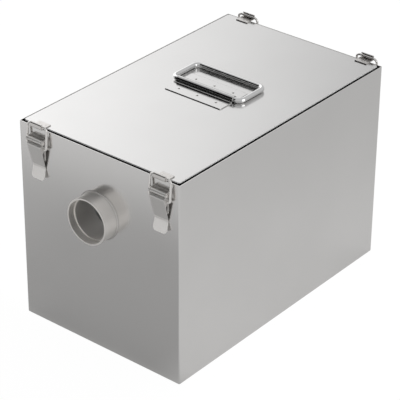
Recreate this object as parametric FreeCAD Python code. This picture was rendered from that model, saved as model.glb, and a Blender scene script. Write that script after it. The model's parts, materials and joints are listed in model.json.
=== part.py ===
import FreeCAD, Part
import math
import os

# Grease trap: a folded stainless tank with an inlet and an outlet stub, a lid that drops in on a
# rubber seal, four over-centre toggle latches, a folding handle, two baffles and a strainer basket.
# Millimetres. The origin is the middle of the tank's floor, X runs across the inlet end,
# Y from the inlet (front) to the outlet (back), Z up.

Vector = FreeCAD.Vector
Rotation = FreeCAD.Rotation

# Tank
TANK_WIDTH = 250.0
TANK_LENGTH = 400.0
TANK_HEIGHT = 273.5
SHEET = 1.2
TANK_EDGE_RADIUS = 2.0

# Ledge, seal and lid at the rim
LEDGE_WIDTH = 16.0
LEDGE_LEG = 13.2
SEAL_THICKNESS = 3.0
SEAL_WIDTH = 14.0
SEAL_GAP = 1.8
LID_SHEET = 1.5
LID_INSET = 4.3
LID_CORNER_RADIUS = 3.0

# Folding handle on the lid
STRAP_LENGTH = 88.6
STRAP_WIDTH = 54.0
STRAP_SHEET = 1.0
STRAP_CORNER_RADIUS = 1.5
STRAP_FOOT_RADIUS = 1.7
WELD_SPOT_DIAMETER = 3.0
WELD_SPOT_DEPTH = 0.25
WELD_SPOT_PITCH = 29.3
WELD_SPOT_OFFSET = 16.8
ROD_DIAMETER = 6.5
ROD_CLEARANCE = 0.10
ROD_LIFT = 0.3
RING_WIDTH = 106.8
RING_REACH = 48.0
RING_CORNER_RADIUS = 8.0

# Inlet and outlet
PIPE_DIAMETER = 60.3
PIPE_WALL = 2.0
STUB_PROJECTION = 21.5
STUB_WELD = 2.0
INLET_HEIGHT = 189.0
OUTLET_DROP = 20.0
SLEEVE_WALL = 1.5
SLEEVE_SETBACK = 10.0
SLEEVE_REACH = 18.8
TEE_WALL_GAP = 15.65
TEE_ABOVE_OUTLET = 46.0
TEE_BOTTOM = 60.0

# Baffles
BAFFLE_FLANGE = 12.0
BEND_RADIUS = 1.8
FRONT_BAFFLE_DISTANCE = 138.0
FRONT_BAFFLE_BOTTOM = 55.0
FRONT_BAFFLE_BELOW_RIM = 28.5
REAR_BAFFLE_DISTANCE = 105.0
REAR_BAFFLE_HEIGHT = 120.0

# Strainer basket and the rails that it hangs on
BASKET_WIDTH = 100.0
BASKET_DEPTH = 113.8
BASKET_BELOW_INLET = 5.0
BASKET_GAP_FRONT = 4.0
BASKET_GAP_BACK = 10.0
BASKET_CORNER_RADIUS = 6.0
BASKET_LIP = 12.0
HOLE_DIAMETER = 7.5
HOLE_PITCH = 33.2
HOLE_ROW_PITCH = 25.3
HOLE_FIRST_ROW = 15.2
HOLE_FRONT_MARGIN = 20.6
RAIL_FLANGE = 15.0
RAIL_GAP = 1.5
GRIP_DIAMETER = 4.0
GRIP_RISE = 14.0
GRIP_FOOT = 22.0
GRIP_CORNER_RADIUS = 10.0

# Toggle latches: distances out from the tank wall, heights down from the tank rim
LATCH_INSET = 29.0
LATCH_SHIFT = 3.0
PIN_DIAMETER = 3.0
PIN_CLEARANCE = 0.06
PIN_HEAD_DIAMETER = 4.6
PIN_HEAD_THICKNESS = 1.0
PIVOT_OUT = 6.5
PIVOT_DROP = 14.0
CRANK_IN = 1.9
CRANK_DROP = 9.5
LEVER_WIDTH = 21.5
LEVER_NECK_WIDTH = 20.0
LEVER_TAB_WIDTH = 21.0
LEVER_TAB_RADIUS = 5.0
LEVER_SHOULDER_RUN = 6.1
LEVER_BEND_OUT = 1.0
LEVER_BEND_DROP = 38.2
LEVER_TAB_OUT = 4.8
LEVER_TAB_DROP = 53.2
LEVER_BEND_RADIUS = 2.0
CURL_START = -20.0
CURL_END = 225.0
EAR_RADIUS = 3.0
SIDE_GAP = 0.45
BASE_WEB_WIDTH = 18.0
BASE_WEB_DROP = 41.5
BASE_TOP_DROP = 10.5
BASE_ARM_DROP = 18.0
BASE_EAR_RADIUS = 2.9
WIRE_DIAMETER = 3.0
BAIL_SIDE_GAP = 0.6
BAIL_CORNER_RADIUS = 5.0
BAIL_FOOT_RADIUS = 3.0
BAIL_END_INSIDE = 0.95
BAR_OUT = 2.5
KEEPER_WIDTH = 18.0
KEEPER_BACK = 11.5
KEEPER_SEAT_GAP = 0.8
KEEPER_RISER_GAP = 0.4
KEEPER_LIP_GAP = 0.6
KEEPER_LIP_END = 3.0
KEEPER_BEND_RADIUS = 1.2

TINY = 1e-6

# Places worked out from the sizes above
HALF_WIDTH = TANK_WIDTH / 2
HALF_LENGTH = TANK_LENGTH / 2
INNER_HALF_WIDTH = HALF_WIDTH - SHEET
INNER_HALF_LENGTH = HALF_LENGTH - SHEET
LEDGE_TOP = TANK_HEIGHT - SEAL_THICKNESS
LID_TOP = TANK_HEIGHT + LID_SHEET
ROD_RADIUS = ROD_DIAMETER / 2
ROD_HEIGHT = LID_TOP + ROD_LIFT + ROD_RADIUS
OUTLET_HEIGHT = INLET_HEIGHT - OUTLET_DROP
STUB_INNER_RADIUS = PIPE_DIAMETER / 2 - PIPE_WALL
SLEEVE_INNER_RADIUS = STUB_INNER_RADIUS - SLEEVE_WALL
FRONT_BAFFLE_Y = FRONT_BAFFLE_DISTANCE - HALF_LENGTH
REAR_BAFFLE_Y = HALF_LENGTH - REAR_BAFFLE_DISTANCE
BASKET_FRONT = -INNER_HALF_LENGTH + SLEEVE_REACH + BASKET_GAP_FRONT
BASKET_BACK = FRONT_BAFFLE_Y - BASKET_GAP_BACK
BASKET_TOP = INLET_HEIGHT - PIPE_DIAMETER / 2 - BASKET_BELOW_INLET
BASKET_HALF = BASKET_WIDTH / 2
PIN_RADIUS = PIN_DIAMETER / 2
WIRE_RADIUS = WIRE_DIAMETER / 2
LEVER_HALF = LEVER_WIDTH / 2
BASE_EAR_INNER = LEVER_HALF + SIDE_GAP
BASE_EAR_OUTER = BASE_EAR_INNER + SHEET
BAIL_HALF_SPAN = BASE_EAR_OUTER + PIN_HEAD_THICKNESS + BAIL_SIDE_GAP + WIRE_RADIUS
BAR_HEIGHT = LID_TOP + SHEET + KEEPER_SEAT_GAP + WIRE_RADIUS
PIVOT_HEIGHT = TANK_HEIGHT - PIVOT_DROP

# Ways to lay a section drawn in the XY plane and drawn out along Z into the tank's own axes
ALONG_X = Rotation(Vector(0, 1, 0), Vector(0, 0, 1), Vector(1, 0, 0), "XYZ")
ALONG_MINUS_Y = Rotation(Vector(1, 0, 0), Vector(0, 0, 1), Vector(0, -1, 0), "XYZ")
LATCH_SECTION = Rotation(Vector(0, -1, 0), Vector(0, 0, 1), Vector(-1, 0, 0), "XYZ")


def block(low, high):
    """Plain block between two corners."""
    return Part.makeBox(high[0] - low[0], high[1] - low[1], high[2] - low[2], Vector(*low))


def rounded_block(low, high, radius, round_floor=False):
    """Block with rounded upright corners, and a rounded floor edge where asked."""
    solid = block(low, high)
    edges = []
    for edge in solid.Edges:
        upright = abs(edge.tangentAt(edge.FirstParameter).z) > 0.5
        on_floor = abs(edge.BoundBox.ZMax - low[2]) < TINY
        if upright or (round_floor and on_floor):
            edges.append(edge)
    return solid.makeFillet(radius, edges)


def centred_block(half_x, half_y, bottom, top, radius, round_floor=False):
    """Rounded block centred on the tank's upright axis."""
    return rounded_block((-half_x, -half_y, bottom), (half_x, half_y, top), radius, round_floor)


def tube(start, direction, length, outer_radius, inner_radius):
    """Round tube that starts at a point and runs along a direction."""
    outer = Part.makeCylinder(outer_radius, length, start, direction)
    return outer.cut(Part.makeCylinder(inner_radius, length, start, direction))


def line(start, end):
    """Straight edge."""
    return Part.LineSegment(start, end).toShape()


def arc(start, middle, end):
    """Round edge through three points."""
    return Part.Arc(start, middle, end).toShape()


def wire_of(edges):
    """One wire from edges in any order."""
    return Part.Wire(Part.sortEdges(edges)[0])


def directions(points):
    """Unit vector of each run between neighbouring points."""
    runs = []
    for start, end in zip(points, points[1:]):
        run = end - start
        run.normalize()
        runs.append(run)
    return runs


def left_of(run):
    """Vector to the left of a run in the XY plane."""
    return Vector(-run.y, run.x, 0)


def bent_edges(points, radii, offset):
    """Runs and round bends of a path in the XY plane, moved to its left by an offset."""
    runs = directions(points)
    first = points[0] + left_of(runs[0]) * offset
    last = points[-1] + left_of(runs[-1]) * offset
    here = first
    edges = []
    for corner, before, after, radius in zip(points[1:], runs, runs[1:], radii):
        turn = math.atan2(before.x * after.y - before.y * after.x, before.dot(after))
        side = math.copysign(1, turn)
        reach = radius * math.tan(abs(turn) / 2)
        centre = corner - before * reach + left_of(before) * (side * radius)
        to_corner = corner - centre
        to_corner.normalize()
        bend_start = corner - before * reach + left_of(before) * offset
        bend_end = corner + after * reach + left_of(after) * offset
        if (bend_start - here).Length > TINY:
            edges.append(line(here, bend_start))
        edges.append(arc(bend_start, centre + to_corner * (radius - side * offset), bend_end))
        here = bend_end
    edges.append(line(here, last))
    return edges, first, last


def folded_sheet(points, radii, sheet, length):
    """Sheet folded along the middle line through the points, drawn out along Z."""
    corners = [Vector(a, b, 0) for a, b in points]
    left, left_first, left_last = bent_edges(corners, radii, sheet / 2)
    right, right_first, right_last = bent_edges(corners, radii, -sheet / 2)
    caps = [line(left_first, right_first), line(left_last, right_last)]
    section = Part.Face(wire_of(left + right + caps))
    return section.extrude(Vector(0, 0, length))


def turned(shape, rotation, base):
    """Shape laid into the tank's axes."""
    placed = shape.copy()
    placed.Placement = FreeCAD.Placement(base, rotation)
    return placed


def bent_rod(points, radii, rod_radius, closed=False):
    """Round rod bent along a path of straight runs, with a radius at each corner."""
    corners = [Vector(*point) for point in points]
    if closed:
        middle = (corners[0] + corners[-1]) * 0.5
        corners = [middle] + corners + [middle]
    runs = directions(corners)
    here = corners[0]
    edges = []
    for corner, before, after, radius in zip(corners[1:], runs, runs[1:], radii):
        half_turn = before.getAngle(after) / 2
        reach = radius * math.tan(half_turn)
        inward = after - before
        inward.normalize()
        start = corner - before * reach
        end = corner + after * reach
        edges.append(line(here, start))
        edges.append(arc(start, corner + inward * (radius / math.cos(half_turn) - radius), end))
        here = end
    edges.append(line(here, corners[-1]))
    profile = Part.Wire(Part.makeCircle(rod_radius, corners[0], runs[0]))
    return Part.Wire(edges).makePipeShell([profile], True, False)


def tank_body():
    """Folded tank with a hole behind each pipe stub, as wide as the stub's bore."""
    outer = centred_block(HALF_WIDTH, HALF_LENGTH, 0, TANK_HEIGHT, TANK_EDGE_RADIUS, True)
    inner = centred_block(INNER_HALF_WIDTH, INNER_HALF_LENGTH, SHEET, TANK_HEIGHT + SHEET,
                          TANK_EDGE_RADIUS - SHEET, True)
    radius = STUB_INNER_RADIUS
    front = Part.makeCylinder(radius, 2 * SHEET, Vector(0, -HALF_LENGTH - TINY, INLET_HEIGHT),
                              Vector(0, 1, 0))
    back = Part.makeCylinder(radius, 2 * SHEET, Vector(0, HALF_LENGTH + TINY, OUTLET_HEIGHT),
                             Vector(0, -1, 0))
    return outer.cut([inner, front, back])


def frame(half_x, half_y, width, bottom, top, radius):
    """Flat ring of a given width inside a rounded rectangle."""
    outer = centred_block(half_x, half_y, bottom, top, radius)
    inner = block((width - half_x, width - half_y, bottom), (half_x - width, half_y - width, top))
    return outer.cut(inner)


def rim_ledge():
    """Angle welded round the inside of the rim, which carries the seal."""
    radius = TANK_EDGE_RADIUS - SHEET
    shelf = frame(INNER_HALF_WIDTH, INNER_HALF_LENGTH, LEDGE_WIDTH, LEDGE_TOP - SHEET,
                  LEDGE_TOP, radius)
    leg = frame(INNER_HALF_WIDTH, INNER_HALF_LENGTH, SHEET, LEDGE_TOP - LEDGE_LEG,
                LEDGE_TOP - SHEET, radius)
    return shelf.fuse(leg).removeSplitter()


def lid_gasket():
    """Flat rubber seal between the ledge and the lid."""
    return frame(INNER_HALF_WIDTH - SEAL_GAP, INNER_HALF_LENGTH - SEAL_GAP, SEAL_WIDTH,
                 LEDGE_TOP, TANK_HEIGHT, LID_CORNER_RADIUS)


def lid():
    """Flat lid that drops in between the walls."""
    return centred_block(HALF_WIDTH - LID_INSET, HALF_LENGTH - LID_INSET, TANK_HEIGHT, LID_TOP,
                         LID_CORNER_RADIUS)


def handle_strap():
    """Strap spot welded to the lid, with a hump that holds the ring's rod."""
    middle = LID_TOP + STRAP_SHEET / 2
    tunnel = ROD_RADIUS + ROD_CLEARANCE + STRAP_SHEET / 2
    crown = ROD_HEIGHT + tunnel
    half = STRAP_WIDTH / 2
    path = [(-half, middle), (-tunnel, middle), (-tunnel, crown), (tunnel, crown),
            (tunnel, middle), (half, middle)]
    radii = [STRAP_FOOT_RADIUS, tunnel, tunnel, STRAP_FOOT_RADIUS]
    flat = folded_sheet(path, radii, STRAP_SHEET, STRAP_LENGTH)
    strap = turned(flat, ALONG_X, Vector(-STRAP_LENGTH / 2, 0, 0))
    corners = [edge for edge in strap.Edges
               if abs(edge.Length - STRAP_SHEET) < TINY
               and abs(abs(edge.CenterOfMass.y) - half) < TINY]
    strap = strap.makeFillet(STRAP_CORNER_RADIUS, corners)
    spots = []
    for column in (-1, 0, 1):
        for row in (-1, 1):
            foot = Vector(column * WELD_SPOT_PITCH, row * WELD_SPOT_OFFSET,
                          LID_TOP + STRAP_SHEET - WELD_SPOT_DEPTH)
            spots.append(Part.makeCylinder(WELD_SPOT_DIAMETER / 2, STRAP_SHEET, foot))
    return strap.cut(spots)


def handle_ring():
    """Closed ring of round rod, lying flat towards the outlet."""
    half = RING_WIDTH / 2
    corners = [(half, 0, ROD_HEIGHT), (half, RING_REACH, ROD_HEIGHT),
               (-half, RING_REACH, ROD_HEIGHT), (-half, 0, ROD_HEIGHT)]
    return bent_rod(corners, [RING_CORNER_RADIUS] * 4, ROD_RADIUS, closed=True)


def pipe_stub(height, side):
    """Stub butted on the front (side -1) or back (side 1) wall, with a hollow weld round its foot."""
    radius = PIPE_DIAMETER / 2
    wall = side * HALF_LENGTH
    weld_start = wall + side * STUB_WELD
    stub = tube(Vector(0, wall, height), Vector(0, side, 0), STUB_PROJECTION, radius,
                STUB_INNER_RADIUS)
    on_pipe = Vector(0, weld_start, height + radius)
    foot = Vector(0, wall, height + radius)
    on_wall = Vector(0, wall, height + radius + STUB_WELD)
    share = STUB_WELD * (1 - math.sqrt(0.5))
    hollow = Vector(0, wall + side * share, height + radius + share)
    outline = wire_of([line(on_pipe, foot), line(foot, on_wall), arc(on_wall, hollow, on_pipe)])
    weld = Part.Face(outline).revolve(Vector(0, 0, height), Vector(0, 1, 0), 360)
    return stub.fuse(weld).removeSplitter()


def inlet_sleeve():
    """Thin sleeve pushed into the inlet stub, which leads the flow into the basket."""
    start = Vector(0, -HALF_LENGTH - STUB_PROJECTION + SLEEVE_SETBACK, INLET_HEIGHT)
    length = STUB_PROJECTION - SLEEVE_SETBACK + SHEET + SLEEVE_REACH
    return tube(start, Vector(0, 1, 0), length, STUB_INNER_RADIUS, SLEEVE_INNER_RADIUS)


def outlet_tee():
    """Dip pipe with a side branch pushed into the outlet stub."""
    y = INNER_HALF_LENGTH - TEE_WALL_GAP - STUB_INNER_RADIUS
    branch_end = HALF_LENGTH + STUB_PROJECTION - SLEEVE_SETBACK
    upright = Vector(0, 0, 1)
    back = Vector(0, 1, 0)
    bottom = Vector(0, y, TEE_BOTTOM)
    height = OUTLET_HEIGHT + TEE_ABOVE_OUTLET - TEE_BOTTOM
    branch = Vector(0, y, OUTLET_HEIGHT)
    outer = Part.makeCylinder(STUB_INNER_RADIUS, height, bottom, upright).fuse(
        Part.makeCylinder(STUB_INNER_RADIUS, branch_end - y, branch, back))
    inner = Part.makeCylinder(SLEEVE_INNER_RADIUS, height, bottom, upright).fuse(
        Part.makeCylinder(SLEEVE_INNER_RADIUS, branch_end - y, branch, back))
    return outer.cut(inner)


def baffle(y, bottom, top):
    """Cross wall with a weld flange folded back along each side wall."""
    half = INNER_HALF_WIDTH - SHEET / 2
    front = y + SHEET / 2
    back = y + BAFFLE_FLANGE
    path = [(-half, back), (-half, front), (half, front), (half, back)]
    sheet = folded_sheet(path, [BEND_RADIUS] * 2, SHEET, top - bottom)
    return turned(sheet, Rotation(), Vector(0, 0, bottom))


def hole_places(low, high, margin):
    """Two sets of hole places along a wall: full pitch from a margin, and half a pitch on."""
    full = []
    place = low + margin
    while place < high - HOLE_DIAMETER:
        full.append(place)
        place += HOLE_PITCH
    staggered = [place + HOLE_PITCH / 2 for place in full
                 if place + HOLE_PITCH / 2 < high - HOLE_DIAMETER]
    return full, staggered


def basket_holes(bottom):
    """Cutters for the staggered holes of the basket's side walls and floor."""
    radius = HOLE_DIAMETER / 2
    side_rows = hole_places(BASKET_FRONT, BASKET_BACK, HOLE_FRONT_MARGIN)
    floor_rows = hole_places(-BASKET_HALF, BASKET_HALF, BASKET_HALF - HOLE_PITCH)
    cutters = []
    row = 0
    z = BASKET_TOP - HOLE_FIRST_ROW
    while z > bottom + HOLE_DIAMETER:
        for y in side_rows[row % 2]:
            cutters.append(Part.makeCylinder(radius, BASKET_WIDTH, Vector(-BASKET_HALF, y, z),
                                             Vector(1, 0, 0)))
        z -= HOLE_ROW_PITCH
        row += 1
    for row, y in enumerate(sorted(side_rows[0] + side_rows[1])):
        for x in floor_rows[row % 2]:
            cutters.append(Part.makeCylinder(radius, SHEET * 2, Vector(x, y, bottom - SHEET / 2)))
    return cutters


def strainer_basket():
    """Perforated basket with a lip on each side that hangs on the rails."""
    bottom = BASKET_TOP - BASKET_DEPTH
    outer = rounded_block((-BASKET_HALF, BASKET_FRONT, bottom), (BASKET_HALF, BASKET_BACK, BASKET_TOP),
                          BASKET_CORNER_RADIUS)
    inner = rounded_block((SHEET - BASKET_HALF, BASKET_FRONT + SHEET, bottom + SHEET),
                          (BASKET_HALF - SHEET, BASKET_BACK - SHEET, BASKET_TOP),
                          BASKET_CORNER_RADIUS - SHEET)
    pan = outer.cut(inner).cut(basket_holes(bottom))
    lips = []
    for side in (-1, 1):
        ends = sorted((side * (BASKET_HALF - SHEET), side * (BASKET_HALF + BASKET_LIP)))
        lips.append(block((ends[0], BASKET_FRONT + BASKET_CORNER_RADIUS, BASKET_TOP - SHEET),
                          (ends[1], BASKET_BACK - BASKET_CORNER_RADIUS, BASKET_TOP)))
    return pan.fuse(lips).removeSplitter()


def basket_grip():
    """Wire bow welded across the basket to lift it by."""
    half = BASKET_HALF - SHEET - GRIP_DIAMETER / 2
    y = (BASKET_FRONT + BASKET_BACK) / 2
    foot = BASKET_TOP - GRIP_FOOT
    top = BASKET_TOP + GRIP_RISE
    path = [(-half, y, foot), (-half, y, top), (half, y, top), (half, y, foot)]
    return bent_rod(path, [GRIP_CORNER_RADIUS] * 2, GRIP_DIAMETER / 2)


def basket_rail(side):
    """Angle from the front wall to the front baffle, under one lip of the basket."""
    near = BASKET_HALF + RAIL_GAP
    far = near + RAIL_FLANGE - SHEET / 2
    level = BASKET_TOP - SHEET - SHEET / 2
    path = [(side * near, level), (side * far, level), (side * far, level - RAIL_FLANGE)]
    length = FRONT_BAFFLE_Y + INNER_HALF_LENGTH
    rail = folded_sheet(path, [BEND_RADIUS], SHEET, length)
    return turned(rail, ALONG_MINUS_Y, Vector(0, FRONT_BAFFLE_Y, 0))


def pivot():
    """Lever pivot: out from the wall, height."""
    return (PIVOT_OUT, PIVOT_HEIGHT)


def crank():
    """Bail pivot in the lever's ears: out from the wall, height."""
    return (PIVOT_OUT - CRANK_IN, PIVOT_HEIGHT - CRANK_DROP)


def across(centre, radius, half_length):
    """Cylinder across a latch, centred, at a place out from the wall and a height."""
    return Part.makeCylinder(radius, 2 * half_length, Vector(-half_length, -centre[0], centre[1]),
                             Vector(1, 0, 0))


def side_plate(points, inner, outer):
    """Flat plate of a latch, from points out from the wall and heights, between two widths."""
    corners = [Vector(inner, -out, height) for out, height in points]
    outline = Part.makePolygon(corners + corners[:1])
    return Part.Face(outline).extrude(Vector(outer - inner, 0, 0))


def latch_sheet(path, radii, width):
    """Folded sheet of a latch, from a path of places out from the wall and heights."""
    return turned(folded_sheet(path, radii, SHEET, width), LATCH_SECTION, Vector(width / 2, 0, 0))


def latch_pin():
    """Pin with a head at each end."""
    head = PIN_HEAD_DIAMETER / 2
    shank = across(pivot(), PIN_RADIUS, BASE_EAR_OUTER + PIN_HEAD_THICKNESS)
    heads = across(pivot(), head, BASE_EAR_OUTER + PIN_HEAD_THICKNESS)
    gap = across(pivot(), 2 * head, BASE_EAR_OUTER)
    return shank.fuse(heads.cut(gap)).removeSplitter()


def latch_base():
    """Plate on the wall with two ears that carry the pin."""
    top = TANK_HEIGHT - BASE_TOP_DROP
    arm = TANK_HEIGHT - BASE_ARM_DROP
    half = BASE_WEB_WIDTH / 2
    web = block((-half, -SHEET, TANK_HEIGHT - BASE_WEB_DROP), (half, 0, top))
    arms = block((-BASE_EAR_OUTER, -SHEET, arm), (BASE_EAR_OUTER, 0, top))
    pieces = [arms]
    for side in (-1, 1):
        plate = side_plate([(0, arm), (PIVOT_OUT, PIVOT_HEIGHT - BASE_EAR_RADIUS),
                            (PIVOT_OUT, PIVOT_HEIGHT + BASE_EAR_RADIUS), (0, top)],
                           side * BASE_EAR_INNER, side * BASE_EAR_OUTER)
        round_end = Part.makeCylinder(BASE_EAR_RADIUS, SHEET,
                                      Vector(side * BASE_EAR_INNER, -PIVOT_OUT, PIVOT_HEIGHT),
                                      Vector(side, 0, 0))
        pieces += [plate, round_end]
    base = web.fuse(pieces).removeSplitter()
    return base.cut(across(pivot(), PIN_RADIUS, 2 * BASE_EAR_OUTER))


def lever_path():
    """Middle line of the lever: curl round the pin, shoulder, bend at the wall and tab."""
    out, height = pivot()
    radius = PIN_RADIUS + PIN_CLEARANCE + SHEET / 2
    step = (CURL_END - CURL_START) / 3
    corner_radius = radius / math.cos(math.radians(step / 2))
    angles = [CURL_START] + [CURL_START + step * (k + 0.5) for k in range(3)]
    reaches = [radius] + [corner_radius] * 3
    path = [(out + reach * math.cos(math.radians(angle)),
             height + reach * math.sin(math.radians(angle)))
            for angle, reach in zip(angles, reaches)]
    leave = math.radians(CURL_END)
    shoulder = (out + radius * math.cos(leave) - LEVER_SHOULDER_RUN * math.sin(leave),
                height + radius * math.sin(leave) + LEVER_SHOULDER_RUN * math.cos(leave))
    bend = (LEVER_BEND_OUT, height - LEVER_BEND_DROP)
    tab = (LEVER_TAB_OUT, height - LEVER_TAB_DROP)
    radii = [radius] * 3 + [LEVER_BEND_RADIUS] * 2
    return path + [shoulder, bend, tab], radii


def lever_outline():
    """Front view of the lever, drawn through its depth: waist at the bend, round tab."""
    top = PIVOT_HEIGHT + LEVER_WIDTH
    knee = PIVOT_HEIGHT - CRANK_DROP - 2 * EAR_RADIUS
    neck = PIVOT_HEIGHT - LEVER_BEND_DROP
    end = PIVOT_HEIGHT - LEVER_TAB_DROP
    right = [(LEVER_HALF, top), (LEVER_HALF, knee), (LEVER_NECK_WIDTH / 2, neck),
             (LEVER_TAB_WIDTH / 2, end)]
    outline = right + [(-x, z) for x, z in reversed(right)]
    corners = [Vector(x, LEVER_WIDTH, z) for x, z in outline]
    solid = Part.Face(Part.makePolygon(corners + corners[:1])).extrude(Vector(0, -3 * LEVER_WIDTH, 0))
    tips = [edge for edge in solid.Edges
            if abs(edge.CenterOfMass.z - end) < TINY
            and abs(abs(edge.CenterOfMass.x) - LEVER_TAB_WIDTH / 2) < TINY]
    return solid.makeFillet(LEVER_TAB_RADIUS, tips)


def lever():
    """Toggle lever with two ears that carry the bail."""
    path, radii = lever_path()
    plate = latch_sheet(path, radii, LEVER_WIDTH).common(lever_outline())
    shoulder, bend = path[-3], path[-2]
    out, height = crank()
    foot_height = height - 2.3 * EAR_RADIUS
    share = (shoulder[1] - foot_height) / (shoulder[1] - bend[1])
    foot = (shoulder[0] + (bend[0] - shoulder[0]) * share, foot_height)
    top = (path[-4][0] + shoulder[0]) / 2, (path[-4][1] + shoulder[1]) / 2
    pieces = []
    for side in (-1, 1):
        inner = side * (LEVER_HALF - SHEET)
        ear = side_plate([top, shoulder, foot, (out - 0.67 * EAR_RADIUS, height - 0.87 * EAR_RADIUS),
                          (out - 0.9 * EAR_RADIUS, height + 0.5 * EAR_RADIUS)],
                         inner, side * LEVER_HALF)
        round_end = Part.makeCylinder(EAR_RADIUS, SHEET, Vector(inner, -out, height),
                                      Vector(side, 0, 0))
        pieces += [ear, round_end]
    whole = plate.fuse(pieces).removeSplitter()
    return whole.cut(across(crank(), WIRE_RADIUS + PIN_CLEARANCE, LEVER_WIDTH))


def bail():
    """Wire loop from the lever's ears over the keeper."""
    out, height = crank()
    inner = LEVER_HALF - SHEET - BAIL_END_INSIDE
    right = [(inner, -out, height), (BAIL_HALF_SPAN, -out, height),
             (BAIL_HALF_SPAN, -BAR_OUT, BAR_HEIGHT)]
    path = right + [(-x, y, z) for x, y, z in reversed(right)]
    radii = [BAIL_FOOT_RADIUS, BAIL_CORNER_RADIUS, BAIL_CORNER_RADIUS, BAIL_FOOT_RADIUS]
    return bent_rod(path, radii, WIRE_RADIUS)


def keeper():
    """Hook on the lid, open towards the lid, that the bail pulls down on."""
    seat = LID_TOP + SHEET / 2
    riser = BAR_OUT + WIRE_RADIUS + KEEPER_RISER_GAP + SHEET / 2
    lip = BAR_HEIGHT + WIRE_RADIUS + KEEPER_LIP_GAP + SHEET / 2
    path = [(-KEEPER_BACK, seat), (riser, seat), (riser, lip), (KEEPER_LIP_END, lip)]
    return latch_sheet(path, [KEEPER_BEND_RADIUS] * 2, KEEPER_WIDTH)


def latch_pieces():
    """The five pieces of each of the four latches, by name."""
    makers = {"keeper": keeper, "latch_base": latch_base, "latch_pin": latch_pin,
              "lever": lever, "bail": bail}
    half_spacing = HALF_WIDTH - LATCH_INSET
    pieces = {}
    for name, maker in makers.items():
        shape = maker()
        for end, turn, y in (("front", 0, -HALF_LENGTH), ("back", 180, HALF_LENGTH)):
            for side, sign in (("left", -1), ("right", 1)):
                x = LATCH_SHIFT + sign * half_spacing
                placement = FreeCAD.Placement(Vector(x, y, 0), Rotation(Vector(0, 0, 1), turn))
                copy = shape.copy()
                copy.Placement = placement.multiply(copy.Placement)
                pieces[end + "_" + side + "_" + name] = copy
    return pieces


def all_pieces():
    """Every piece of the grease trap, by name."""
    pieces = {
        "tank_body": tank_body(),
        "rim_ledge": rim_ledge(),
        "lid_gasket": lid_gasket(),
        "lid": lid(),
        "handle_strap": handle_strap(),
        "handle_ring": handle_ring(),
        "inlet_stub": pipe_stub(INLET_HEIGHT, -1),
        "inlet_sleeve": inlet_sleeve(),
        "outlet_stub": pipe_stub(OUTLET_HEIGHT, 1),
        "outlet_tee": outlet_tee(),
        "front_baffle": baffle(FRONT_BAFFLE_Y, FRONT_BAFFLE_BOTTOM,
                               TANK_HEIGHT - FRONT_BAFFLE_BELOW_RIM),
        "rear_baffle": baffle(REAR_BAFFLE_Y, SHEET, REAR_BAFFLE_HEIGHT),
        "strainer_basket": strainer_basket(),
        "basket_grip": basket_grip(),
        "basket_rail_left": basket_rail(-1),
        "basket_rail_right": basket_rail(1),
    }
    pieces.update(latch_pieces())
    return pieces


def main():
    """Writes one file for each piece."""
    os.makedirs("parts", exist_ok=True)
    for name, shape in all_pieces().items():
        shape.exportStep("parts/" + name + ".step")


main()
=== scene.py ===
import json
import logging
import math
from collections.abc import Sequence
from dataclasses import dataclass, replace
from enum import Enum

import bmesh
import bpy
import numpy as np
from mathutils import Matrix, Vector


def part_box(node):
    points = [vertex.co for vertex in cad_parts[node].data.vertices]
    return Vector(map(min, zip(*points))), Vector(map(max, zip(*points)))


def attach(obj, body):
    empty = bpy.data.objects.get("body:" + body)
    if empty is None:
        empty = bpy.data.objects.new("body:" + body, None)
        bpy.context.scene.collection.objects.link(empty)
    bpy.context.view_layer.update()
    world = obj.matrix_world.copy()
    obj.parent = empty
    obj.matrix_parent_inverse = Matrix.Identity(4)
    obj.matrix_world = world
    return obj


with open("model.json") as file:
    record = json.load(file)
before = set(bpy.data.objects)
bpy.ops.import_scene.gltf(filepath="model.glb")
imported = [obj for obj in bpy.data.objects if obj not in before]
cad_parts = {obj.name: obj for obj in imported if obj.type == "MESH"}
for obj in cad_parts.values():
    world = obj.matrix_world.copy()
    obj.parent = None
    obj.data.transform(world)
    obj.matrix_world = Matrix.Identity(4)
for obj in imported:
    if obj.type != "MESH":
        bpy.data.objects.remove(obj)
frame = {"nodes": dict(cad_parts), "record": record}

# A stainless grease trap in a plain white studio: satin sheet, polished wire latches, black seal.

Colour = tuple[float, float, float, float]
Grid = tuple[np.ndarray, np.ndarray, np.ndarray]

LOG = logging.getLogger("grease_trap")
LATCHES = ("front_left", "front_right", "back_left", "back_right")
WHITE: Colour = (1.0, 1.0, 1.0, 1.0)
BLACK: Colour = (0.0, 0.0, 0.0, 1.0)

# Bands of another tone: the weld at a stub's foot, and the finger tab of a lever, whose paler
# tone is a painted highlight.
STUB_WELD = 0.002
WELD_TONE: Colour = (0.66, 0.64, 0.62, 1.0)
TAB_HEIGHT = 0.0185
# Painted highlight: the lever's finger tab is made paler than the rest of the lever.
TAB_PAINTED_HIGHLIGHT: Colour = (1.0, 0.98, 0.955, 1.0)
BAND_SLACK = 0.0002

# A face is an upright sawn edge where the Z of its direction is under this.
UPRIGHT_BELOW = 0.5
SAWN_TONE: Colour = (0.97, 0.97, 0.97, 1.0)


class Slot(Enum):
    """Material slots of the record."""

    TANK = "tank_sheet"
    LID = "lid_sheet"
    PIPE = "pipe_steel"
    BASKET = "basket_steel"
    HANDLE = "polished_steel"
    LATCH = "latch_steel"
    WIRE = "latch_wire"
    SEAL = "rubber_seal"


class Grain(Enum):
    """Direction in which a sheet was rolled, as the noise scale along X, Y and Z."""

    NONE = (1.0, 1.0, 1.0)
    ALONG_Y = (1.0, 0.02, 1.0)
    ALONG_Z = (1.0, 1.0, 0.02)


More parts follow.
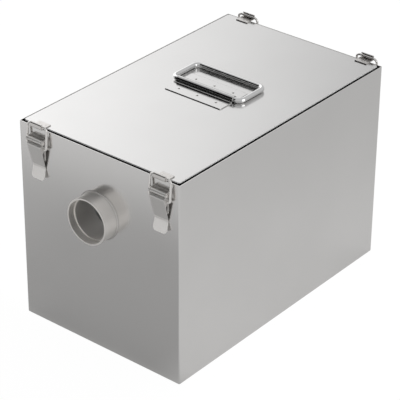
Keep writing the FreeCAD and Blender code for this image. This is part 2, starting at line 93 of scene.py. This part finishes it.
def node(tree: bpy.types.NodeTree, kind: str, **values: object) -> bpy.types.Node:
    """Adds a shader node and sets its properties or input values by name.

    Args:
        tree: Node tree that gets the node.
        kind: Node type without its ShaderNode prefix.
        values: Property names, or input names with spaces written as underscores.

    Returns:
        The new node.
    """
    made = tree.nodes.new("ShaderNode" + kind)
    for name, value in values.items():
        socket = made.inputs.get(name.replace("_", " "))
        if socket is None:
            setattr(made, name, value)
        else:
            socket.default_value = value
    return made


def feed(tree: bpy.types.NodeTree, value: bpy.types.NodeSocket | float | Colour,
         socket: bpy.types.NodeSocket) -> None:
    """Links a socket to another, or sets its plain value.

    Args:
        tree: Node tree of both sockets.
        value: Socket to link from, or a number or colour.
        socket: Input that gets it.
    """
    if isinstance(value, bpy.types.NodeSocket):
        tree.links.new(value, socket)
    else:
        socket.default_value = value


def mixed_number(tree: bpy.types.NodeTree, share: bpy.types.NodeSocket,
                 under: bpy.types.NodeSocket | float, over: float) -> bpy.types.NodeSocket:
    """Mixes two numbers.

    Args:
        tree: Node tree that gets the node.
        share: Share of the second number.
        under: First number.
        over: Second number.

    Returns:
        The mixed number.
    """
    mix = node(tree, "Mix", data_type="FLOAT")
    factor, first, second = (mix.inputs[place] for place in (0, 2, 3))
    feed(tree, share, factor)
    feed(tree, under, first)
    feed(tree, over, second)
    return mix.outputs[0]


def mixed_colour(tree: bpy.types.NodeTree, share: bpy.types.NodeSocket,
                 under: bpy.types.NodeSocket | Colour, over: Colour) -> bpy.types.NodeSocket:
    """Mixes two colours.

    Args:
        tree: Node tree that gets the node.
        share: Share of the second colour.
        under: First colour.
        over: Second colour.

    Returns:
        The mixed colour.
    """
    mix = node(tree, "Mix", data_type="RGBA")
    factor, first, second = (mix.inputs[place] for place in (0, 6, 7))
    feed(tree, share, factor)
    feed(tree, under, first)
    feed(tree, over, second)
    return mix.outputs[2]


def eased(tree: bpy.types.NodeTree, value: bpy.types.NodeSocket, ends: tuple[float, float],
          low: float = 0.0, high: float = 1.0) -> bpy.types.NodeSocket:
    """Eases a value from low to high between two ends, level outside them.

    Args:
        tree: Node tree that gets the node.
        value: Socket to ease.
        ends: Values where the easing starts and ends.
        low: Result at and before the first end.
        high: Result at and after the second end.

    Returns:
        The eased number.
    """
    step = node(tree, "MapRange", interpolation_type="SMOOTHSTEP", From_Min=ends[0],
                From_Max=ends[1], To_Min=low, To_Max=high)
    feed(tree, value, step.inputs["Value"])
    return step.outputs["Result"]


def combined(tree: bpy.types.NodeTree, operation: str,
             *values: bpy.types.NodeSocket | float) -> bpy.types.NodeSocket:
    """Combines numbers in turn with one Math operation.

    Args:
        tree: Node tree that gets the nodes.
        operation: Name of the operation.
        values: Two or more numbers.

    Returns:
        The combined number.
    """
    total = values[0]
    for value in values[1:]:
        step = node(tree, "Math", operation=operation)
        feed(tree, total, step.inputs[0])
        feed(tree, value, step.inputs[1])
        total = step.outputs[0]
    return total


def distance_along(tree: bpy.types.NodeTree, vector: bpy.types.NodeSocket,
                   axis: str) -> bpy.types.NodeSocket:
    """Takes one part of a vector without its sign.

    Args:
        tree: Node tree that gets the nodes.
        vector: Place or direction.
        axis: X, Y or Z.

    Returns:
        The part's size.
    """
    axes = node(tree, "SeparateXYZ")
    tree.links.new(vector, axes.inputs[0])
    size = node(tree, "Math", operation="ABSOLUTE")
    tree.links.new(axes.outputs[axis], size.inputs[0])
    return size.outputs[0]


def new_material(name: str) -> tuple[bpy.types.Material, bpy.types.Node]:
    """Makes a material that holds one Principled shader.

    Args:
        name: Name of the material.

    Returns:
        The material and its Principled node.
    """
    material = bpy.data.materials.new(name)
    material.use_nodes = True
    return material, material.node_tree.nodes["Principled BSDF"]


def lay_over(tree: bpy.types.NodeTree, shader: bpy.types.Node, share: bpy.types.NodeSocket,
             colour: Colour) -> None:
    """Lays another colour over the one that already reaches a shader.

    Args:
        tree: Tree of the material.
        shader: Principled node, with its colour already linked.
        share: Where the new colour shows.
        colour: New colour.
    """
    base = shader.inputs["Base Color"]
    tree.links.new(mixed_colour(tree, share, base.links[0].from_socket, colour), base)


@dataclass(frozen=True)
class SteelFinish:
    """Stainless steel with a rolled grain and soft edges.

    The grain is fine streaks that vary the roughness by spread and raise the surface by
    grain_height. The cloud is a broad change of tone, as a share of the colour.
    """

    name: str
    colour: tuple[float, float, float]
    roughness: float
    spread: float = 0.04
    grain: Grain = Grain.NONE
    grain_scale: float = 900.0
    grain_height: float = 0.000004
    grain_strength: float = 0.5
    cloud: float = 0.04
    cloud_scale: float = 9.0
    edge_radius: float = 0.0004
    metallic: float = 1.0
    sawn_edges: bool = False
    tinted_welds: bool = False
    # Paints a highlight on the lever's finger tab.
    painted_tab_highlight: bool = False

    def material(self) -> bpy.types.Material:
        """Builds the steel: its grain, its tone, and the edges and bands that it has, the lever
        tab's band being a painted highlight.

        Returns:
            The finished material.
        """
        material, shader = new_material(self.name)
        tree = material.node_tree
        place = node(tree, "TexCoord")
        self.roll_grain(tree, place.outputs["Object"], shader)
        self.cloud_tone(tree, place.outputs["Object"], shader)
        shader.inputs["Metallic"].default_value = self.metallic
        if self.sawn_edges:
            self.saw_edges(tree, place.outputs["Normal"], shader)
        if self.tinted_welds:
            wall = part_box("tank_body")[1][1]
            self.tint_band(tree, place.outputs["Object"], shader, "Y", (wall, wall + STUB_WELD),
                           WELD_TONE)
        # Painted highlight: the lowest band of the lever, its finger tab, is made paler.
        if self.painted_tab_highlight:
            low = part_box("front_left_lever")[0][2]
            self.tint_band(tree, place.outputs["Object"], shader, "Z", (low, low + TAB_HEIGHT),
                           TAB_PAINTED_HIGHLIGHT)
        return material

    def roll_grain(self, tree: bpy.types.NodeTree, place: bpy.types.NodeSocket,
                   shader: bpy.types.Node) -> None:
        """Gives the surface its roughness, the relief of its streaks and its soft edges.

        Args:
            tree: Tree of the material.
            place: Socket of the place on the piece.
            shader: Principled node.
        """
        link = tree.links.new
        stretch = node(tree, "Mapping", Scale=self.grain.value)
        link(place, stretch.inputs["Vector"])
        streaks = node(tree, "TexNoise", Scale=self.grain_scale, Detail=3.0, Roughness=0.6)
        link(stretch.outputs["Vector"], streaks.inputs["Vector"])
        rough = node(tree, "MapRange", To_Min=self.roughness - self.spread,
                     To_Max=self.roughness + self.spread)
        link(streaks.outputs["Fac"], rough.inputs["Value"])
        link(rough.outputs["Result"], shader.inputs["Roughness"])
        edge = node(tree, "Bevel", samples=4, Radius=self.edge_radius)
        bump = node(tree, "Bump", Strength=self.grain_strength, Distance=self.grain_height)
        link(streaks.outputs["Fac"], bump.inputs["Height"])
        link(edge.outputs["Normal"], bump.inputs["Normal"])
        link(bump.outputs["Normal"], shader.inputs["Normal"])

    def cloud_tone(self, tree: bpy.types.NodeTree, place: bpy.types.NodeSocket,
                   shader: bpy.types.Node) -> None:
        """Gives the surface its colour, a little darker and lighter in broad clouds.

        Args:
            tree: Tree of the material.
            place: Socket of the place on the piece.
            shader: Principled node.
        """
        clouds = node(tree, "TexNoise", Scale=self.cloud_scale, Detail=2.0)
        tree.links.new(place, clouds.inputs["Vector"])
        dark, light = ((*(min(1.0, c * (1 + change)) for c in self.colour), 1.0)
                       for change in (-self.cloud, self.cloud))
        tree.links.new(mixed_colour(tree, clouds.outputs["Fac"], dark, light),
                       shader.inputs["Base Color"])

    def saw_edges(self, tree: bpy.types.NodeTree, normal: bpy.types.NodeSocket,
                  shader: bpy.types.Node) -> None:
        """Makes the faces that stand upright pale and matt, as a sheet's sawn edge is.

        Args:
            tree: Tree of the material.
            normal: Socket of the face's direction.
            shader: Principled node, with its colour already linked.
        """
        upright = combined(tree, "LESS_THAN", distance_along(tree, normal, "Z"), UPRIGHT_BELOW)
        lay_over(tree, shader, upright, SAWN_TONE)
        tree.links.new(combined(tree, "SUBTRACT", self.metallic, upright),
                       shader.inputs["Metallic"])

    def tint_band(self, tree: bpy.types.NodeTree, place: bpy.types.NodeSocket,
                  shader: bpy.types.Node, axis: str, span: tuple[float, float],
                  colour: Colour) -> None:
        """Gives the piece another colour between two distances from the origin along an axis.

        Args:
            tree: Tree of the material.
            place: Socket of the place on the piece.
            shader: Principled node, with its colour already linked.
            axis: Axis along which the distance counts, on both sides of the origin.
            span: Distances where the band starts and ends.
            colour: Colour inside the band.
        """
        inside = node(tree, "Math", operation="COMPARE")
        tree.links.new(distance_along(tree, place, axis), inside.inputs[0])
        inside.inputs[1].default_value = (span[0] + span[1]) / 2
        inside.inputs[2].default_value = (span[1] - span[0]) / 2 + BAND_SLACK
        lay_over(tree, shader, inside.outputs[0], colour)


@dataclass(frozen=True)
class RubberFinish:
    """Matt black rubber with a fine grain."""

    name: str = "seal_rubber"
    colour: tuple[float, float, float] = (0.004, 0.004, 0.004)
    roughness: float = 0.8
    specular: float = 0.15
    tone_lift: float = 1.6
    grain_scale: float = 1500.0
    grain_height: float = 0.00002
    grain_strength: float = 0.4

    def material(self) -> bpy.types.Material:
        """Builds the rubber: fine noise as bump and as a faint change of tone.

        Returns:
            The finished material.
        """
        material, shader = new_material(self.name)
        tree = material.node_tree
        link = tree.links.new
        place = node(tree, "TexCoord")
        grain = node(tree, "TexNoise", Scale=self.grain_scale, Detail=2.0)
        link(place.outputs["Object"], grain.inputs["Vector"])
        dark, light = ((*(c * lift for c in self.colour), 1.0) for lift in (1.0, self.tone_lift))
        link(mixed_colour(tree, grain.outputs["Fac"], dark, light), shader.inputs["Base Color"])
        bump = node(tree, "Bump", Strength=self.grain_strength, Distance=self.grain_height)
        link(grain.outputs["Fac"], bump.inputs["Height"])
        link(bump.outputs["Normal"], shader.inputs["Normal"])
        shader.inputs["Roughness"].default_value = self.roughness
        shader.inputs["Specular IOR Level"].default_value = self.specular
        return material


FINISHES: dict[Slot, SteelFinish | RubberFinish] = {
    Slot.TANK: SteelFinish("tank_steel", (0.76, 0.75, 0.74), 0.18, grain=Grain.ALONG_Z),
    Slot.LID: SteelFinish("lid_steel", (0.74, 0.735, 0.73), 0.17, grain=Grain.ALONG_Y,
                          sawn_edges=True),
    Slot.PIPE: SteelFinish("tube_steel", (0.90, 0.875, 0.845), 0.34, grain=Grain.ALONG_Y,
                           metallic=0.75),
    Slot.BASKET: SteelFinish("strainer_steel", (0.62, 0.62, 0.62), 0.5, metallic=0.5),
    Slot.HANDLE: SteelFinish("handle_steel", (0.92, 0.92, 0.92), 0.05, spread=0.02),
    Slot.LATCH: SteelFinish("pressed_steel", (0.80, 0.78, 0.76), 0.30, metallic=0.6),
    Slot.WIRE: SteelFinish("wire_steel", (0.86, 0.84, 0.82), 0.18, spread=0.02, metallic=0.85),
    Slot.SEAL: RubberFinish(),
}
NODE_FINISHES: dict[str, SteelFinish] = {
    "_stub": replace(FINISHES[Slot.PIPE], name="stub_steel", tinted_welds=True),
    "_strap": SteelFinish("strap_steel", (0.73, 0.725, 0.72), 0.15, grain=Grain.ALONG_Y),
    "_keeper": SteelFinish("keeper_steel", (0.72, 0.70, 0.68), 0.28),
    # The lever gets a painted highlight on its finger tab.
    "_lever": replace(FINISHES[Slot.LATCH], name="lever_steel", colour=(0.76, 0.745, 0.725),
                      painted_tab_highlight=True),
}
WELD_FINISH = SteelFinish("burnt_steel", (0.30, 0.28, 0.26), 0.4, metallic=0.8)


def dress_nodes() -> dict[str, bpy.types.Material]:
    """Gives every node the finish of its record slot, or the one for its kind of piece.

    Returns:
        The materials by slot name.
    """
    made = {slot.value: finish.material() for slot, finish in FINISHES.items()}
    special = {ending: finish.material() for ending, finish in NODE_FINISHES.items()}
    for entry in frame["record"]["subparts"]:
        mesh = frame["nodes"][entry["node"]].data
        mesh.materials.clear()
        chosen = made[entry["material_slot"]]
        for ending, material in special.items():
            if entry["node"].endswith(ending):
                chosen = material
        mesh.materials.append(chosen)
        LOG.info("%s gets %s", entry["node"], chosen.name)
    return made


def grid_piece(name: str, x: np.ndarray, y: np.ndarray, z: np.ndarray) -> bpy.types.Object:
    """Makes a mesh from three grids of coordinates, one quad for each cell.

    Args:
        name: Name of the piece.
        x: X of each grid point, in metres.
        y: Y of each grid point.
        z: Z of each grid point.

    Returns:
        The new object, at the origin.
    """
    rows, columns = x.shape
    corners = np.stack((x, y, z), axis=-1).reshape(-1, 3)
    first = (np.arange(rows - 1)[:, None] * columns + np.arange(columns - 1)).ravel()
    quads = np.stack((first, first + 1, first + columns + 1, first + columns), axis=1)
    mesh = bpy.data.meshes.new(name)
    mesh.from_pydata(corners.tolist(), [], quads.tolist())
    mesh.update()
    piece = bpy.data.objects.new(name, mesh)
    bpy.context.scene.collection.objects.link(piece)
    return piece


def closed_piece(name: str, grids: list[Grid],
                 material: bpy.types.Material) -> bpy.types.Object:
    """Joins closed grids into one smooth piece that rides the tank.

    Args:
        name: Name of the piece.
        grids: X, Y and Z grids, each of a surface that closes on itself.
        material: Material of the piece.

    Returns:
        The piece, with its seams and poles merged and its faces outwards.
    """
    whole = bmesh.new()
    for x, y, z in grids:
        part = grid_piece(name + "_part", x, y, z)
        whole.from_mesh(part.data)
        bpy.data.meshes.remove(part.data)
    bmesh.ops.remove_doubles(whole, verts=whole.verts, dist=1e-6)
    bmesh.ops.recalc_face_normals(whole, faces=whole.faces)
    mesh = bpy.data.meshes.new(name)
    whole.to_mesh(mesh)
    whole.free()
    mesh.shade_smooth()
    mesh.materials.append(material)
    piece = bpy.data.objects.new(name, mesh)
    bpy.context.scene.collection.objects.link(piece)
    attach(piece, "trap")
    LOG.info("%s has %d faces", name, len(mesh.polygons))
    return piece


@dataclass(frozen=True)
class SpotWelds:
    """Flat weld nuggets of the handle strap and of the keepers."""

    strap_pitch: float = 0.0293
    strap_offset: float = 0.0168
    strap_depth: float = 0.00025
    strap_thickness: float = 0.0010
    keeper_offset: float = 0.0050
    keeper_from_edge: float = 0.0045
    keeper_thickness: float = 0.0012
    radius: float = 0.0012
    height: float = 0.00022
    steps: int = 24

    def nugget(self, x: float, y: float, z: float) -> Grid:
        """Grid of one nugget: a ball squashed flat.

        Args:
            x: Middle of the nugget.
            y: Middle of the nugget.
            z: Height of the sheet under it.

        Returns:
            X, Y and Z grids.
        """
        u, v = np.meshgrid(np.linspace(0, 2 * np.pi, self.steps + 1),
                           np.linspace(0, np.pi, self.steps // 2 + 1), indexing="ij")
        return (x + self.radius * np.sin(v) * np.cos(u), y + self.radius * np.sin(v) * np.sin(u),
                z + self.height * np.cos(v))

    def build(self, burnt: bpy.types.Material, pressed: bpy.types.Material) -> None:
        """Adds the six nuggets of the strap and two on each keeper.

        Args:
            burnt: Material of the strap's nuggets.
            pressed: Material of the keepers' nuggets.
        """
        lid_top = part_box("lid")[1][2]
        sunk = lid_top + self.strap_thickness - self.strap_depth
        grids = [self.nugget(column * self.strap_pitch, row * self.strap_offset, sunk)
                 for column in (-1, 0, 1) for row in (-1, 1)]
        closed_piece("strap_spot_welds", grids, burnt)
        for latch in LATCHES:
            low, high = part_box(latch + "_keeper")
            middle = (low[0] + high[0]) / 2
            inner = high[1] - self.keeper_from_edge if latch.startswith("front") \
                else low[1] + self.keeper_from_edge
            grids = [self.nugget(middle + side * self.keeper_offset, inner,
                                 lid_top + self.keeper_thickness) for side in (-1, 1)]
            closed_piece(latch + "_keeper_spots", grids, pressed)


@dataclass(frozen=True)
class Camera:
    """Camera at the photograph's viewing angle, from a fit of the box's edges."""

    azimuth: float = 39.1227
    elevation: float = 30.1744
    roll: float = 0.4468
    place: tuple[float, float, float] = (1.30040, -1.60887, 1.32326)
    lens: float = 169.4
    farthest: float = 50.0

    def build(self) -> None:
        """Adds the camera: right, up and back are turned about the view line by the roll."""
        az, el, roll = (math.radians(a) for a in (self.azimuth, self.elevation, self.roll))
        right = Vector((math.cos(az), math.sin(az), 0.0))
        back = Vector((math.sin(az) * math.cos(el), -math.cos(az) * math.cos(el), math.sin(el)))
        up = back.cross(right)
        turned_right = right * math.cos(roll) + up * math.sin(roll)
        turned_up = up * math.cos(roll) - right * math.sin(roll)
        data = bpy.data.cameras.new("camera")
        data.lens = self.lens
        data.clip_end = self.farthest
        camera = bpy.data.objects.new("camera", data)
        matrix = Matrix((turned_right, turned_up, back)).transposed().to_4x4()
        matrix.translation = Vector(self.place)
        camera.matrix_world = matrix
        bpy.context.scene.collection.objects.link(camera)
        bpy.context.scene.camera = camera


@dataclass(frozen=True)
class SoftLamp:
    """Square soft lamp that faces its aim, and shows in the metal only if it is mirrored."""

    name: str
    place: tuple[float, float, float]
    size: float
    power: float
    aim: tuple[float, float, float] = (0.0, 0.0, 0.0)
    mirrored: bool = True

    def build(self) -> None:
        """Adds the lamp, turned so that its face looks at its aim."""
        data = bpy.data.lights.new(self.name, "AREA")
        data.size = self.size
        data.energy = self.power
        lamp = bpy.data.objects.new(self.name, data)
        lamp.visible_glossy = self.mirrored
        look = Vector(self.aim) - Vector(self.place)
        turn = look.to_track_quat("-Z", "Y").to_matrix().to_4x4()
        lamp.matrix_world = Matrix.Translation(self.place) @ turn
        bpy.context.scene.collection.objects.link(lamp)


@dataclass(frozen=True)
class Patch:
    """Soft round patch of the room, by the cosine of the angle to its middle."""

    side: tuple[float, float, float]
    starts: float
    full: float
    level: float

    def share(self, tree: bpy.types.NodeTree) -> bpy.types.NodeSocket:
        """Works out how much of the patch a ray meets.

        Args:
            tree: World tree.

        Returns:
            A socket that runs from 0 outside the patch to 1 inside.
        """
        ray = node(tree, "TexCoord")
        cosine = node(tree, "VectorMath", operation="DOT_PRODUCT")
        cosine.inputs[1].default_value = Vector(self.side).normalized()
        tree.links.new(ray.outputs["Generated"], cosine.inputs[0])
        return eased(tree, cosine.outputs["Value"], (self.starts, self.full))


@dataclass(frozen=True)
class Room:
    """Soft grey room with a bright patch behind the trap and a dark one beyond its inlet end."""

    level: float = 0.50
    bright: Patch = Patch((-0.843, 0.402, 0.358), 0.83, 0.99, 1.42)
    dark: Patch = Patch((-0.55, -0.65, 0.42), 0.84, 0.93, 0.0)

    def build(self) -> None:
        """Builds the world: the room to light and reflections, plain white to the camera."""
        world = bpy.data.worlds.new("room")
        bpy.context.scene.world = world
        world.use_nodes = True
        tree = world.node_tree
        link = tree.links.new
        tree.nodes.clear()
        lit = mixed_number(tree, self.bright.share(tree), self.level, self.bright.level)
        shaded = mixed_number(tree, self.dark.share(tree), lit, self.dark.level)
        glow = node(tree, "Background", Color=WHITE)
        link(shaded, glow.inputs["Strength"])
        white = node(tree, "Background", Color=WHITE)
        path = node(tree, "LightPath")
        choose = node(tree, "MixShader")
        link(path.outputs["Is Camera Ray"], choose.inputs[0])
        link(glow.outputs[0], choose.inputs[1])
        link(white.outputs[0], choose.inputs[2])
        link(choose.outputs[0], node(tree, "OutputWorld").inputs[0])


@dataclass(frozen=True)
class Floor:
    """White floor whose tone has soft slopes of painted light and shade for the lamps and
    mirrors, and none for the camera.

    Each slope has a span, the two places where it starts and ends, and its values there. The
    dip is painted shade before the inlet wall: it deepens from the far edge, stops under the
    wall and fades to the right. The right and left slopes are painted light, and the back slope
    is painted shade. The camera sees white_level, but for shadow_share of the plain floor,
    which takes the trap's shadow.
    """

    size: float = 12.0
    drop: float = 0.0003
    colour: float = 0.60
    shadow_share: float = 0.06
    white_level: float = 1.04
    mirror_share: float = 0.6
    mirror_level: float = 0.70
    right_span: tuple[float, float] = (0.15, 0.42)
    right_near: float = 1.085
    right_far: float = 1.0
    back_span: tuple[float, float] = (-0.15, 0.45)
    back_change: float = -0.13
    left_span: tuple[float, float] = (-0.40, -0.18)
    left_change: float = 0.12
    dip_span: tuple[float, float] = (-0.62, -0.42)
    dip_far: float = -0.02
    dip_near: float = 0.45
    dip_stop: tuple[float, float] = (-0.215, -0.165)
    dip_side: tuple[float, float] = (0.06, 0.22)

    def tone(self, tree: bpy.types.NodeTree) -> bpy.types.NodeSocket:
        """Works out the tone of painted light and shade: the right slope, less the dip, plus the
        back and left slopes.

        Args:
            tree: Tree of the floor's material.

        Returns:
            The tone as a socket.
        """
        place = node(tree, "TexCoord")
        axes = node(tree, "SeparateXYZ")
        tree.links.new(place.outputs["Object"], axes.inputs[0])
        x, y = (axes.outputs[axis] for axis in "XY")
        # Painted shade: a darker field on the floor before the inlet wall.
        dip = combined(tree, "MULTIPLY",
                       eased(tree, y, self.dip_span, self.dip_far, self.dip_near),
                       eased(tree, y, self.dip_stop, 1.0, 0.0),
                       eased(tree, x, self.dip_side, 1.0, 0.0))
        # Painted light and shade: slopes of tone at the right, back and left.
        right = eased(tree, x, self.right_span, self.right_near, self.right_far)
        return combined(tree, "ADD", combined(tree, "SUBTRACT", right, dip),
                        eased(tree, y, self.back_span, 0.0, self.back_change),
                        eased(tree, x, self.left_span, self.left_change, 0.0))

    def build(self) -> None:
        """Adds the floor and its material."""
        side = np.linspace(-self.size / 2, self.size / 2, 3)
        x, y = np.meshgrid(side, side)
        piece = grid_piece("studio_floor", x, y, np.full_like(x, -self.drop))
        material, shader = new_material("floor_white")
        tree = material.node_tree
        link = tree.links.new
        tone = self.tone(tree)
        pale = (self.colour, self.colour, self.colour, 1.0)
        # The floor's own colour carries the painted light and shade.
        link(mixed_colour(tree, tone, BLACK, pale), shader.inputs["Base Color"])
        shader.inputs["Roughness"].default_value = 1.0
        shader.inputs["Specular IOR Level"].default_value = 0.0
        # For mirrors the floor glows with its painted tone of light and shade.
        mirrored = node(tree, "Emission")
        link(combined(tree, "MULTIPLY", tone, self.mirror_level), mirrored.inputs["Strength"])
        white = node(tree, "Emission", Strength=self.white_level)
        path = node(tree, "LightPath")
        surface = shader.outputs[0]
        for ray, share, light in (("Is Glossy Ray", self.mirror_share, mirrored),
                                  ("Is Camera Ray", 1.0 - self.shadow_share, white)):
            choose = node(tree, "MixShader")
            link(combined(tree, "MULTIPLY", path.outputs[ray], share), choose.inputs[0])
            link(surface, choose.inputs[1])
            link(light.outputs[0], choose.inputs[2])
            surface = choose.outputs[0]
        link(surface, tree.nodes["Material Output"].inputs["Surface"])
        piece.data.materials.append(material)


@dataclass(frozen=True)
class Studio:
    """Room, floor and lamps, one of them a small lamp inside the tank."""

    room: Room = Room()
    floor: Floor = Floor()
    lamps: tuple[SoftLamp, ...] = (
        SoftLamp("lamp_over", (0.0, 0.0, 2.5), 3.0, 32.0, mirrored=False),
        SoftLamp("lamp_right", (1.8, 0.2, 0.9), 1.2, 6.0),
    )
    inside_power: float = 0.045
    inside_share: float = 0.6

    def inside_lamp(self) -> SoftLamp:
        """Works out a small lamp under the lid, between the inlet wall and the front baffle.

        Returns:
            The lamp, which looks straight down.
        """
        wall, baffle = (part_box(name)[0][1] for name in ("tank_body", "front_baffle"))
        middle = (wall + baffle) / 2
        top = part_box("rim_ledge")[0][2]
        return SoftLamp("lamp_inside", (0.0, middle, top), (baffle - wall) * self.inside_share,
                        self.inside_power, (0.0, middle, 0.0), mirrored=False)

    def build(self) -> None:
        """Builds the room, the floor and the lamps, and sets plain colour handling."""
        bpy.context.scene.view_settings.view_transform = "Standard"
        self.room.build()
        self.floor.build()
        for lamp in (*self.lamps, self.inside_lamp()):
            lamp.build()


def main() -> None:
    """Builds the studio, dresses the trap and reports each step."""
    logging.basicConfig(level=logging.INFO, format="%(message)s")
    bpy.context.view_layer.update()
    Camera().build()
    Studio().build()
    materials = dress_nodes()
    SpotWelds().build(WELD_FINISH.material(), materials[Slot.LATCH.value])


if __name__ == "__main__":
    main()
